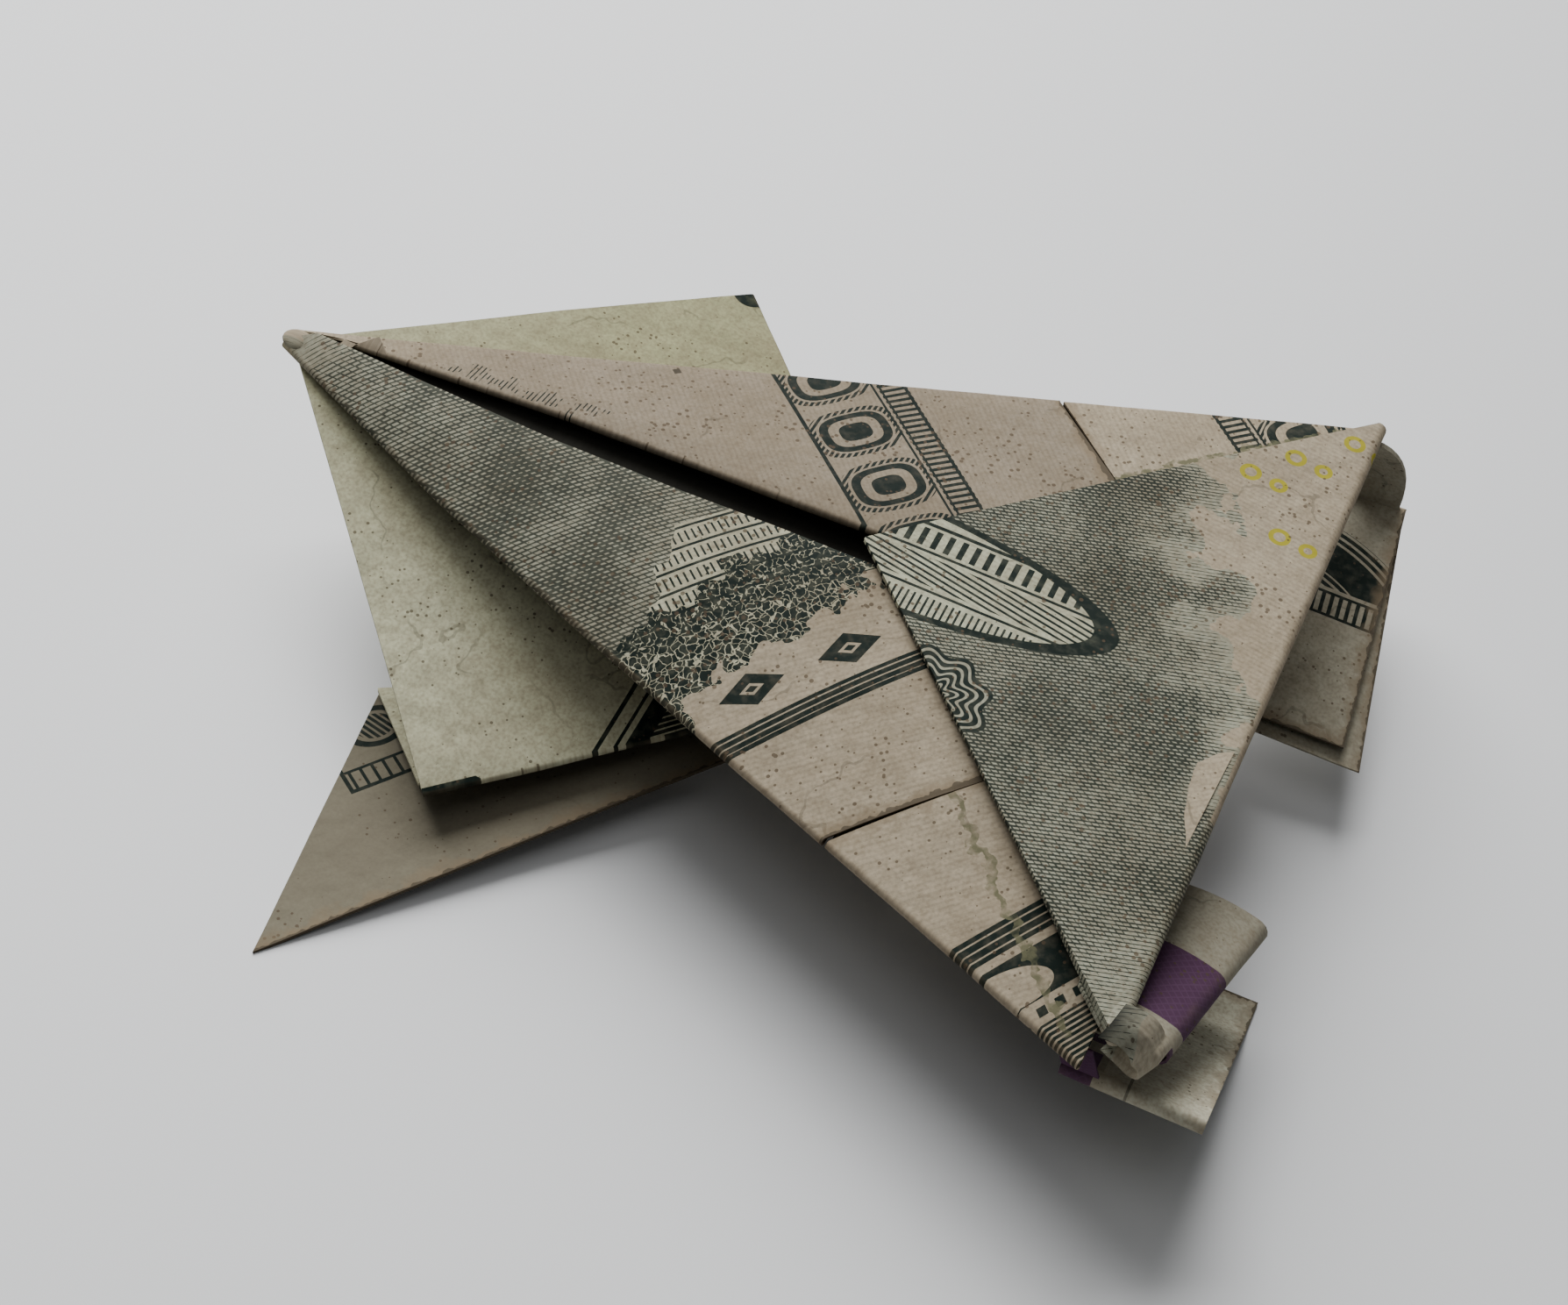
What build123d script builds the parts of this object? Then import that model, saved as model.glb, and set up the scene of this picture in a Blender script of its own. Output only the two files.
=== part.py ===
from build123d import *
from math import cos, radians, sin, sqrt, tan
import os

# Folded paper frog: one printed paper sheet, folded and never cut.
# Millimetres. The nose tip is the point T, X runs to the rear, Y to the far side, Z up.
# The deck is the flat top of the body, at height zero until the last lines lift it.

os.makedirs("parts", exist_ok=True)

# The sheet
SHEET_WIDTH = 66.3
PAPER = 0.11

# The body: an arrowhead with its rear tip folded forward
KITE_ANGLE = 22.5
REAR_FOLD_X = 47.5
SLIT_HALF = 0.45
FLAP_LIFT = 0.9
TIP_FLAP_REAR_Z = 0.65
TIP_FLAP_FRONT_Z = 1.1
REAR_ROLL = 0.6
CRACK_WIDTH = 0.2

# The belly: the middle crease under the body hangs down as a keel
KEEL_DROP = 5.5
KEEL_REAR_Z = -0.6

# The head flaps and front legs: angles of their folds, in degrees
NEAR_FLAP_DROOP = 13.5
NEAR_UNDER_OPEN = 31.5
NEAR_LEG_SHARE = 0.345
FAR_FLAP_DROOP = 0.5
FAR_UNDER_OPEN = 8.0
FAR_LEG_SHARE = 0.52
NOSE_RADIUS = 0.22

# The deck's height over the surface that the frog stands on
RIDE_HEIGHT = 9.2

# The hind legs: strips folded in from the sheet's long edges
LEG_OUTER_X = 51.1
LEG_UNDER_OVERHANG = 1.1
LEG_INNER_X = 45.5
LEG_CREASE_Y = 19.3
FAR_LEG_TOP_Z = -3.6
FAR_LEG_END_Z = -6.0
LEG_LAYER_GAP = 0.6
TUBE_CREASE_X = 48.9
TUBE_END_X = 50.5
TUBE_CREASE_Z = -0.9
TUBE_END_Z = -3.7
TUBE_RADIUS = 0.45
FOOT_CREASE_Z = -3.0
FOOT_OUTER_X = 51.8
TOE_LENGTH = 1.5

# Worked out from the sizes above
HALF = SHEET_WIDTH / 2
SIDE = HALF * sqrt(2)
SPREAD = tan(radians(KITE_ANGLE))
RAW_END_Y = LEG_CREASE_Y - (HALF - LEG_CREASE_Y)
FLOOR_Z = -RIDE_HEIGHT
TIP_X = 2 * REAR_FOLD_X - SHEET_WIDTH
FAR, NEAR = 1, -1

T = Vector(0, 0, 0)


def deck_corner(x, side):
    """A point on the body's outline, x behind the nose."""
    return Vector(x, side * x * SPREAD, 0)


def triangle(a, b, c, layers):
    """A flat three-cornered panel of so many layers of paper."""
    face = Face(Wire.make_polygon([a, b, c], close=True))
    lift = face.normal_at() * (PAPER * layers / 2)
    return Solid.extrude(face.moved(Location(-lift)), lift * 2)


def panel(points, layers=1):
    """A panel with three or more corners, as triangles round its first corner."""
    pairs = zip(points[1:-1], points[2:])
    return [triangle(points[0], b, c, layers) for b, c in pairs]


def crease(a, b, radius):
    """The round back of a fold from a to b."""
    run = b - a
    return [Solid.make_cylinder(radius, run.length, Plane(origin=a, z_dir=run))]


def turned(point, a, b, degrees):
    """A point turned about the fold line from a to b."""
    line = (b - a).normalized()
    arm = point - a
    along = line * arm.dot(line)
    across = arm - along
    up = line.cross(across)
    return a + along + across * cos(radians(degrees)) + up * sin(radians(degrees))


def deck():
    """The single layer that lies flat inside the body."""
    return panel([T, deck_corner(REAR_FOLD_X, FAR), deck_corner(REAR_FOLD_X, NEAR)], 1)


def kite_flap(side):
    """One half of the back: two layers, folded in to the slit, with a split along the raw edge."""
    front = Vector(1.2, side * 0.12, 0.2)
    rise = Vector(TIP_X + 1, side * SLIT_HALF, FLAP_LIFT)
    rear = Vector(SIDE, side * SLIT_HALF, 0.3)
    corner = deck_corner(REAR_FOLD_X, side)
    split = deck_corner(HALF, side)
    shape = panel([T, split, rise], 2)
    shape += panel([T, rise, front], 2)
    shape += panel([split, rear, rise], 2)
    shape += panel([split, corner, rear], 2)
    shape += crease(T, corner, PAPER * 1.7)
    shape += crease(front, rise, PAPER * 1.3)
    shape += crease(rise, rear, PAPER * 1.3)
    shape += crease(T, front, PAPER * 1.5)
    return shape


def crack(side):
    """The split between two raw edges on a kite flap, cut through its top layer."""
    split = deck_corner(HALF, side)
    rear = Vector(SIDE, side * SLIT_HALF, 0.3)
    rise = Vector(TIP_X + 1, side * SLIT_HALF, FLAP_LIFT)
    run = rear - split
    normal = run.cross(rise - split).normalized()
    if normal.Z < 0:
        normal = normal * -1
    middle = split + run * 0.25 + normal * PAPER
    plane = Plane(origin=middle, x_dir=run, z_dir=normal)
    return plane * Box(run.length * 0.56, CRACK_WIDTH, PAPER * 1.8)


def tip_flap():
    """The rear tip folded forward over the back: four layers, with a round fold at the rear."""
    far = deck_corner(REAR_FOLD_X, FAR) + Vector(-REAR_ROLL, -0.2, TIP_FLAP_REAR_Z)
    near = deck_corner(REAR_FOLD_X, NEAR) + Vector(-REAR_ROLL, 0.2, TIP_FLAP_REAR_Z)
    tip = Vector(TIP_X, 0, TIP_FLAP_FRONT_Z)
    shape = panel([far, near, tip], 4)
    drop = Vector(0, 0, REAR_ROLL - PAPER * 2)
    shape += crease(far - drop, near - drop, REAR_ROLL)
    return shape


def belly(side):
    """One side of the underbody, from the outline down to the keel."""
    keel = keel_point()
    split = deck_corner(HALF, side)
    corner = deck_corner(REAR_FOLD_X, side)
    rear = Vector(REAR_FOLD_X - REAR_ROLL, 0, KEEL_REAR_Z)
    shape = panel([T, split, keel], 1)
    shape += panel([keel, split, corner, rear], 1)
    shape += crease(split, keel, PAPER * 0.8)
    shape += crease(T, keel, PAPER * 1.3)
    shape += crease(keel, rear, PAPER * 1.3)
    return shape


def keel_point():
    """The lowest point of the belly, half a sheet's width from the nose."""
    return Vector(sqrt(HALF**2 - KEEL_DROP**2), 0, -KEEL_DROP)


def foot_on_floor(nose_under, keel, root, side):
    """Open the leg about its crease until its tip meets the surface below."""
    low, high = 0.0, 90.0
    target = FLOOR_Z + PAPER * 1.3
    for _ in range(30):
        middle = (low + high) / 2
        foot = turned(nose_under, keel, root, -side * (180 - middle))
        if foot.Z > target:
            low = middle
        else:
            high = middle
    return foot


def front_leg(side, droop, under_open, share):
    """Head flap, the fold under it and the leg folded out again, each of two layers."""
    keel = keel_point()
    down = Vector(-KEEL_DROP, 0, -keel.X) * (1 / HALF)
    out = Vector(0, side, 0) * cos(radians(droop)) + down * sin(radians(droop))
    corner = keel * 0.5 + out * (HALF / 2)
    nose_under = turned(T, corner, keel, side * under_open)
    root = corner + (nose_under - corner) * share
    foot = foot_on_floor(nose_under, keel, root, side)
    shape = panel([T, corner, keel], 2)
    shape += panel([keel, corner, root], 2)
    shape += panel([keel, root, foot], 2)
    shape += crease(corner, keel, PAPER * 1.5)
    shape += crease(keel, root, PAPER * 1.5)
    shape += crease(T, corner, PAPER * 1.3)
    shape += crease(root, foot, PAPER * 1.3)
    print("front leg", "far" if side == FAR else "near", "flap", corner, "root", root, "foot", foot)
    return shape


def far_hind_leg():
    """Two layers folded along the crease under the far corner, with raw ends towards the middle."""
    top_in = Vector(LEG_INNER_X, LEG_CREASE_Y, FAR_LEG_TOP_Z)
    top_out = Vector(LEG_OUTER_X - 1.8, LEG_CREASE_Y, FAR_LEG_TOP_Z)
    end_out = Vector(LEG_OUTER_X, RAW_END_Y, FAR_LEG_END_Z)
    end_in = Vector(LEG_INNER_X, RAW_END_Y, FAR_LEG_END_Z)
    shape = panel([top_in, top_out, end_out, end_in], 1)
    drop = Vector(0, 0, -LEG_LAYER_GAP)
    hang = Vector(LEG_UNDER_OVERHANG, -0.5, -LEG_LAYER_GAP)
    low_out = top_out + drop + Vector(0.3, 0, 0)
    shape += panel([top_in + drop, low_out, end_out + hang, end_in + hang], 1)
    middle = drop * 0.5
    shape += crease(top_in + middle, top_out + middle, LEG_LAYER_GAP / 2 + PAPER * 0.6)
    corner = deck_corner(REAR_FOLD_X, FAR)
    bend_in = Vector(LEG_INNER_X, corner.Y - 0.6, 0)
    bend_out = corner + Vector(0.2, -0.4, 0)
    shape += panel([bend_in, bend_out, top_out, top_in], 2)
    shape += tail_leaf(top_in + drop, end_in + drop)
    return shape


def near_hind_leg():
    """The near strip: a rolled tube beside the rear fold, open at its raw end."""
    top_in = Vector(LEG_INNER_X, -LEG_CREASE_Y, -0.2)
    top_out = Vector(TUBE_CREASE_X - TUBE_RADIUS, -LEG_CREASE_Y, TUBE_CREASE_Z)
    end_out = Vector(TUBE_END_X - TUBE_RADIUS, -RAW_END_Y - 1.5, TUBE_END_Z)
    end_in = Vector(LEG_INNER_X, -RAW_END_Y - 1.5, TUBE_END_Z + 0.4)
    shape = panel([top_in, top_out, end_out, end_in], 1)
    drop = Vector(0, 0, -2 * TUBE_RADIUS)
    shape += panel([top_in + drop, top_out + drop, end_out + drop, end_in + drop], 1)
    shape += crease(top_out + drop * 0.5, end_out + drop * 0.5, TUBE_RADIUS + PAPER * 0.6)
    shape += crease(top_in + drop * 0.5, top_out + drop * 0.5, TUBE_RADIUS + PAPER * 0.6)
    return shape


def near_foot():
    """The lower near strip: it slopes from its crease down to a flat toe on the surface."""
    toe_z = FLOOR_Z + PAPER
    toe_y = -RAW_END_Y - TOE_LENGTH
    crease_in = Vector(LEG_INNER_X, -LEG_CREASE_Y, FOOT_CREASE_Z + 0.2)
    crease_out = Vector(FOOT_OUTER_X, -LEG_CREASE_Y, FOOT_CREASE_Z)
    heel_out = Vector(FOOT_OUTER_X, toe_y - TOE_LENGTH, toe_z)
    heel_in = Vector(LEG_INNER_X, toe_y - TOE_LENGTH, toe_z)
    toe_out = Vector(FOOT_OUTER_X, toe_y, toe_z)
    toe_in = Vector(LEG_INNER_X, toe_y, toe_z)
    shape = panel([crease_in, crease_out, heel_out, heel_in], 2)
    shape += panel([heel_in, heel_out, toe_out, toe_in], 2)
    shape += crease(crease_in, crease_out, PAPER * 2)
    shape += panel([
        Vector(LEG_INNER_X, -LEG_CREASE_Y, -0.2),
        Vector(LEG_INNER_X + 1.8, -LEG_CREASE_Y, -0.5),
        Vector(LEG_INNER_X + 1.4, -LEG_CREASE_Y, FOOT_CREASE_Z),
        crease_in,
    ], 2)
    shape += tail_leaf((crease_in + heel_in) * 0.5, heel_in)
    return shape


def tail_leaf(crease_end, raw_end):
    """The hidden pleat that joins a hind leg to the belly."""
    return panel([keel_point() + Vector(0, 0, -PAPER), crease_end, raw_end], 1)


def build_frog():
    pieces = deck()
    for side in (FAR, NEAR):
        pieces += kite_flap(side)
        pieces += belly(side)
    pieces += tip_flap()
    pieces += front_leg(NEAR, NEAR_FLAP_DROOP, NEAR_UNDER_OPEN, NEAR_LEG_SHARE)
    pieces += front_leg(FAR, FAR_FLAP_DROOP, FAR_UNDER_OPEN, FAR_LEG_SHARE)
    pieces += [Solid.make_sphere(NOSE_RADIUS, Plane(T))]
    pieces += far_hind_leg()
    pieces += near_hind_leg()
    pieces += near_foot()
    sheet = pieces[0].fuse(*pieces[1:])
    return sheet.cut(crack(FAR), crack(NEAR))


frog = build_frog()
box = frog.bounding_box()
place = Location((-box.center().X, -box.center().Y, RIDE_HEIGHT))
export_step(frog.moved(place), "parts/folded_sheet.step")
print("solids", len(frog.solids()), "box", box.size)
print("shift", -box.center().X, -box.center().Y, RIDE_HEIGHT, "lowest", box.min.Z + RIDE_HEIGHT)
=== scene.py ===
# %% [markdown]
# # A folded paper frog
#
# This lesson dresses one small object: a frog folded from a banknote-size printed paper sheet.
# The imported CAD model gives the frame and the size. Blender gives the paper its thin layers, its
# round fold backs, its print and its wear. Everything is in metres, but paper is easier to think
# about in millimetres, so the folds are written in millimetres and scaled once at the end.

# %% [markdown]
# ## The frame
#
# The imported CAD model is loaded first. It is the same frog as plain solids, so it says where the
# paper may go and how large it is.

# %% The frame
import bmesh
import bpy
from math import cos, pi, radians, sin, sqrt, tan
from mathutils import Matrix, Vector, noise


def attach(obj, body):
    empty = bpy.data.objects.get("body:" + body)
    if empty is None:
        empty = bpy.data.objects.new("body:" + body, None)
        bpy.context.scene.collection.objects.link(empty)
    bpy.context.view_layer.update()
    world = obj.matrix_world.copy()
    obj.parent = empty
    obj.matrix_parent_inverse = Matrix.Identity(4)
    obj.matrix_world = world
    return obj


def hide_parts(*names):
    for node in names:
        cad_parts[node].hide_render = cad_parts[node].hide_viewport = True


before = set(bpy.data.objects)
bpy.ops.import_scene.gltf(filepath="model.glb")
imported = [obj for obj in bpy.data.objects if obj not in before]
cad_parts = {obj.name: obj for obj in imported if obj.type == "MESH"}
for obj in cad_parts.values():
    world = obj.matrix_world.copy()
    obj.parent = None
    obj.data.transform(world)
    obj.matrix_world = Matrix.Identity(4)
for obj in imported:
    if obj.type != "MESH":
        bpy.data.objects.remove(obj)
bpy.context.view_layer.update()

# %% [markdown]
# ## The fold points
#
# A folded model is fully given by where its crease corners end up. These are the same corners as
# in the CAD source: the nose is the origin, X runs to the rear, Y to the far side, Z up. Each
# corner also has a place on the flat sheet, u along it and v across it, and the print follows that
# place. A mesh could be unwrapped instead, but an unwrap only guesses what the folds know exactly.

# %% The fold points and the flat sheet
SHEET_WIDTH = 66.3
SHEET_LENGTH = 156.0
PAPER = 0.11
FOLD_RADIUS = 0.13
HALF = SHEET_WIDTH / 2
SIDE = HALF * sqrt(2)
REAR_X = 47.5
LEAN = radians(22.5)
SPREAD = tan(LEAN)
TIP_X = 2 * REAR_X - SHEET_WIDTH
KEEL_DROP = 5.5
KEEL = (sqrt(HALF**2 - KEEL_DROP**2), 0, -KEEL_DROP)
SHIFT = Vector((-25.99, 2.91133, 9.2))
FAR, NEAR = 1, -1
UP = Vector((0, 0, 1))
DOWN = -UP

FLAP_CORNER = {NEAR: (15.703, -16.117, -6.566), FAR: (16.321, 16.574, -2.893)}
LEG_ROOT = {NEAR: (10.402, -10.390, -8.686), FAR: (7.635, 8.025, -3.076)}
LEG_TIP = {NEAR: (12.6, -25.2, -9.057), FAR: (5.2, 16.4, -9.0)}
LEG_SHARE = {NEAR: 0.345, FAR: 0.52}
LEG_INNER_X, FOOT_OUTER_X, TUBE_START_U = 45.5, 51.75, 145.5


def spot(place, u, v, deep=0.0):
    """A corner of the paper: its place, its place on the flat sheet, and how deep inside it is, which is
    painted as shade.
    """
    return Vector((*place, u, v, deep))


def mirror_v(v, side):
    """The far half of the sheet is the near half turned over its middle line."""
    return v if side == FAR else SHEET_WIDTH - v


def back_spot(x, y, z, side, deep=0.0):
    """A corner of the front part of the back, by its place seen from above."""
    u = HALF + (x - y) / sqrt(2)
    return spot((x, side * y, z), u, mirror_v(HALF + (x + y) / sqrt(2), side), deep)


def droop(side, outwards, down):
    """The near flap's outer edge sags and slides out a little. The far one does not."""
    return Vector((0, side * outwards, -down, 0, 0, 0)) * (side == NEAR)


def rear_spot(x, y, z, side):
    """A corner of the rear part of the back, behind the split."""
    run = x - SIDE
    u = SHEET_WIDTH - (run - y) / sqrt(2)
    return spot((x, side * y, z), u, mirror_v(SHEET_WIDTH - (run + y) / sqrt(2), side))


print("keel bottom", [round(part, 2) for part in KEEL], "rear tip at", round(TIP_X, 2), "mm")

# %% [markdown]
# ## Drawing paper from an edge
#
# A folded strip is a row of points that is pulled from crease to crease. Extruding an edge row is
# just that: each pull makes a panel, and at a fold the row goes round a small half circle, so
# that the back of the fold is round as in real paper. The flat-sheet coordinates are kept on
# every point and grow with it, so the print runs on through each fold. A cloth simulation could
# fold the sheet too, but its corners would not stop where the photo shows them.

# %% Tools for drawing paper
def spread(points, cuts):
    """Points at equal steps between the given ones."""
    out = []
    for a, b, count in zip(points, points[1:], cuts):
        out += [a.lerp(b, step / count) for step in range(count)]
    return out + [points[-1]]


def begin(points, cuts):
    """A new strip: one row of points joined by edges."""
    strip = bmesh.new()
    sheet = strip.verts.layers.float_vector.new("sheet")
    row = []
    for point in spread(points, cuts):
        vertex = strip.verts.new(point[:3])
        vertex[sheet] = (point[3], point[4], -point[5])
        row.append(vertex)
    for pair in zip(row, row[1:]):
        strip.edges.new(pair)
    return strip, row


def extend(strip, row):
    """Extrude the row once, and give the new row in the same order."""
    edges = [strip.edges.get(pair) for pair in zip(row, row[1:])]
    made = bmesh.ops.extrude_edge_only(strip, edges=edges)["geom"]
    fresh = {part for part in made if isinstance(part, bmesh.types.BMVert)}
    return [next(e.other_vert(v) for e in v.link_edges if e.other_vert(v) in fresh) for v in row]


def pull(strip, row, points, cuts, steps, bulge=(0, 0, 0)):
    """Pull the row to a new line. A bulge lifts the middle of the panel, most where it is widest."""
    sheet = strip.verts.layers.float_vector["sheet"]
    starts = [Vector((*v.co, v[sheet][0], v[sheet][1], -min(0, v[sheet][2]))) for v in row]
    ends = spread(points, cuts)
    spans = [(end - start).xyz.length for start, end in zip(starts, ends)]
    for step in range(1, steps + 1):
        share = step / steps
        row = extend(strip, row)
        lift = Vector(bulge) * (4 * share * (1 - share))
        for vertex, start, end, span in zip(row, starts, ends, spans):
            now = start.lerp(end, share)
            vertex.co = Vector(now[:3]) + lift * (span / max(spans))
            vertex[sheet] = (now[3], now[4], -now[5])
    return row


def bend(strip, row, out, up, radius, ahead=(0, 0), steps=6, wear_and_shade=1.0):
    """Take the row round a fold. The paper comes back on the side that up points away from. A positive
    last number marks the fold as rubbed; a negative one is painted shade.
    """
    sheet = strip.verts.layers.float_vector["sheet"]
    out, up = Vector(out).normalized(), Vector(up).normalized()
    centres = [v.co - up * radius for v in row]
    before = [Vector(v[sheet]) for v in row]
    for step in range(1, steps + 1):
        angle = pi * step / steps
        row = extend(strip, row)
        for vertex, centre, old in zip(row, centres, before):
            vertex.co = centre + (up * cos(angle) + out * sin(angle)) * radius
            moved = old + Vector((*ahead, 0)) * (step / steps)
            vertex[sheet] = (moved[0], moved[1], wear_and_shade)
    return row


SLOW_WAVES, SMALL_WAVES, SMALL_SHARE = 0.16, 4.7, 0.22


def ripple(strip, amount, seed):
    """Paper is never quite flat: a slow wave and a small one along the normals."""
    strip.normal_update()
    for vertex in strip.verts:
        place = vertex.co * SLOW_WAVES + Vector((seed * 7.3, seed * 3.1, seed))
        wave = noise.noise(place) + SMALL_SHARE * noise.noise(place * SMALL_WAVES)
        vertex.co += vertex.normal * (wave * amount)


paper_parts = []


def keep(strip, outside, thickness, wave, seed):
    """Turn the print side out, give the strip its thickness inwards and keep it."""
    strip.normal_update()
    outside = Vector(outside)
    first = max(strip.faces, key=lambda face: abs(face.normal.dot(outside)) * face.calc_area())
    if first.normal.dot(outside) < 0:
        bmesh.ops.reverse_faces(strip, faces=strip.faces)
    ripple(strip, wave, seed)
    bmesh.ops.solidify(strip, geom=strip.faces, thickness=thickness)
    bmesh.ops.recalc_face_normals(strip, faces=strip.faces)
    part = bpy.data.meshes.new("part")
    strip.to_mesh(part)
    strip.free()
    paper_parts.append(part)
    print("strip", len(paper_parts), "faces", len(part.polygons))


print("drawing tools ready, paper", PAPER, "mm thick")

# %% [markdown]
# ## The back
#
# Two long flaps meet at the middle slit. Each is one layer that comes from under the slit edge,
# runs out over the back, goes round the outer edge and returns to the keel under the body. A
# raw edge of the sheet crosses each flap, where a front part and a rear part meet in a split.
#
# The outer edge leans 22.5 degrees off the middle line, because each flap halves a square corner.
# Worn paper does not lie flat: the near flap swells in the middle and sags along its outer edge.
# Each strip starts a hair inside the slit with its sheet depth at one, which the paper's material
# paints as deep shade. A flat liner, painted deep shade all over, closes the view down the slit.

# %% The front parts of the back
def outer_fold(side):
    """The outer edge's outward direction, and the way over the sheet round its fold."""
    out = Vector((-sin(LEAN), side * cos(LEAN), 0))
    return out, Vector((-cos(LEAN), side * sin(LEAN))) * (FOLD_RADIUS * pi)


def back_front(side):
    """One flap ahead of its split: from the slit out, round the outer edge and under to the keel."""
    rise = 1.0 if side == FAR else 0.72
    begin_x, begin_y, mid_y = (2.5, 0.78, 1.1) if side == FAR else (1.2, -0.4, 0.7)
    # The strip's start inside the slit is painted deep shade.
    slit_in = [
        back_spot(begin_x + 0.1, begin_y + 0.1, -0.15, side, 1.0),
        back_spot(14.0, 3.2, rise * 0.5 - 0.35, side, 1.0),
        back_spot(29.7, 3.2, rise - 0.42, side, 1.0),
        back_spot(46.5, 3.2, 0.02, side, 1.0),
    ]
    slit_low = [
        back_spot(begin_x, begin_y, 0.05, side, 0.9),
        back_spot(14.0, mid_y, rise * 0.62 - 0.2, side, 0.9),
        back_spot(29.7, 0.95, rise - 0.2, side, 0.9),
        back_spot(46.88, 0.72, 0.1, side, 0.9),
    ]
    edge_top = [
        spot((0.1, side * 0.25 - 0.03, 0.08), HALF, HALF) + droop(side, 0.08, 0.1),
        back_spot(HALF * 0.31, HALF * 0.31 * SPREAD, FOLD_RADIUS, side) + droop(side, 0.62, 0.88),
        back_spot(HALF * 0.64, HALF * 0.64 * SPREAD, FOLD_RADIUS, side) + droop(side, 0.60, 1.33),
        back_spot(HALF, HALF * SPREAD, FOLD_RADIUS, side) + droop(side, 0.50, 1.43),
    ]
    bulge = (0, 0, 0.87 if side == NEAR else 0.12)
    keel = [
        spot((0.4, side * 0.1, -0.25), HALF, HALF),
        spot(tuple(0.31 * part for part in KEEL), HALF, mirror_v(HALF * 1.31, side)),
        spot(tuple(0.64 * part for part in KEEL), HALF, mirror_v(HALF * 1.64, side)),
        spot(KEEL, HALF, mirror_v(SHEET_WIDTH, side)),
    ]
    cuts = [16, 16, 14]
    strip, row = begin(slit_in, cuts)
    row = pull(strip, row, slit_low, cuts, 2)
    # The lip under the slit edge gets a little painted shade from its negative number.
    row = bend(strip, row, (0, -side, 0), DOWN, 0.1, wear_and_shade=-0.2)
    row = pull(strip, row, edge_top, cuts, 16, bulge=bulge)
    out, ahead = outer_fold(side)
    row = bend(strip, row, out, UP, FOLD_RADIUS, ahead=ahead, wear_and_shade=0.5)
    pull(strip, row, keel, cuts, 6)
    keep(strip, UP, PAPER, 0.07, 2 + side)


for side in (FAR, NEAR):
    back_front(side)

# The liner under the slit is painted deep shade all over.
liner_near = [spot((0.9, -0.35, -0.1), HALF, HALF, 1), spot((46.0, -4.0, -0.2), 60, HALF, 1)]
liner_far = [spot((1.1, 0.6, -0.1), HALF, HALF, 1), spot((46.0, 4.0, -0.2), 60, HALF, 1)]
strip, row = begin(liner_near, [12])
pull(strip, row, liner_far, [12], 4)
keep(strip, UP, PAPER, 0.0, 5)

# %% [markdown]
# ## Behind the split
#
# The raw edge ends the front part's layer, and the layer below it runs on to the rear. It is the
# same flap, so it is drawn the same way: out over the back, round the edge and back to the keel.
# Both parts could be one strip with a groove, but a real edge throws its own thin shadow.

# %% The rear parts of the back
def back_rear(side):
    """The same flap behind its split."""
    inner = [rear_spot(46.9, 0.5, 0.3, side), rear_spot(47.1, 1.2, 0.3, side)]
    rear_x, rear_y = (46.3, 19.17) if side == NEAR else (47.3, 19.58)
    edge_top = [
        rear_spot(33.35, 13.78, FOLD_RADIUS, side) + droop(side, 0.5, 1.43),
        rear_spot(rear_x, rear_y, FOLD_RADIUS, side) + droop(side, 0.43, 1.48),
    ]
    bulge = (0, 0, 0.9 if side == NEAR else 0.1)
    under = [
        spot(KEEL, 1.5 * SHEET_WIDTH, mirror_v(SHEET_WIDTH, side)),
        spot((46.6, side * 0.05, -0.75), 1.5 * SHEET_WIDTH, mirror_v(52.0, side)),
    ]
    strip, row = begin(inner, [16])
    row = pull(strip, row, edge_top, [16], 14, bulge=bulge)
    out, ahead = outer_fold(side)
    row = bend(strip, row, out, UP, FOLD_RADIUS, ahead=ahead, wear_and_shade=0.5)
    pull(strip, row, under, [16], 8)
    keep(strip, UP, PAPER, 0.06, 6 + side)


for side in (FAR, NEAR):
    back_rear(side)

# %% [markdown]
# ## The rear tip
#
# The rear tip is folded forward over both flaps. It is four layers, so it makes the widest round
# fold of all along the rear. The upper pair is drawn as one strip that goes round the rear; the
# inner pair is a second strip a hair smaller, so the edge shows its layers. Both strips start as
# a tiny edge at the tip's point, and pulling it to the whole rear edge makes the triangle.

# %% The folded rear tip
def tip_spot(x, y, z, deep=0.0):
    """A corner of the rear tip, which lies with its other side up."""
    return spot((x, y, z), 1.5 * SHEET_WIDTH + x - TIP_X, HALF + y, deep)


strip, row = begin([tip_spot(28.7, -0.05, 1.31), tip_spot(28.7, 0.05, 1.31)], [34])
rear_edge = [tip_spot(47.0, -18.95, 0.38), tip_spot(47.1, 19.4, 0.87)]
row = pull(strip, row, rear_edge, [34], 26, bulge=(0, 0, 0.1))
row = bend(strip, row, (1, 0, 0), UP, 0.42, ahead=(1.4, 0), steps=8, wear_and_shade=0.3)
pull(strip, row, [tip_spot(45.0, -17.0, -0.25), tip_spot(45.0, 17.5, -0.05)], [34], 3)
keep(strip, UP, PAPER * 2, 0.06, 11)

strip, row = begin([tip_spot(29.3, -0.15, 1.05), tip_spot(29.3, 0.15, 1.05)], [24])
inner_edge = [tip_spot(46.8, -18.8, 0.13), tip_spot(46.9, 18.9, 0.62)]
pull(strip, row, inner_edge, [24], 20, bulge=(0, 0, 0.08))
keep(strip, UP, PAPER * 1.6, 0.05, 12)
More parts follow.
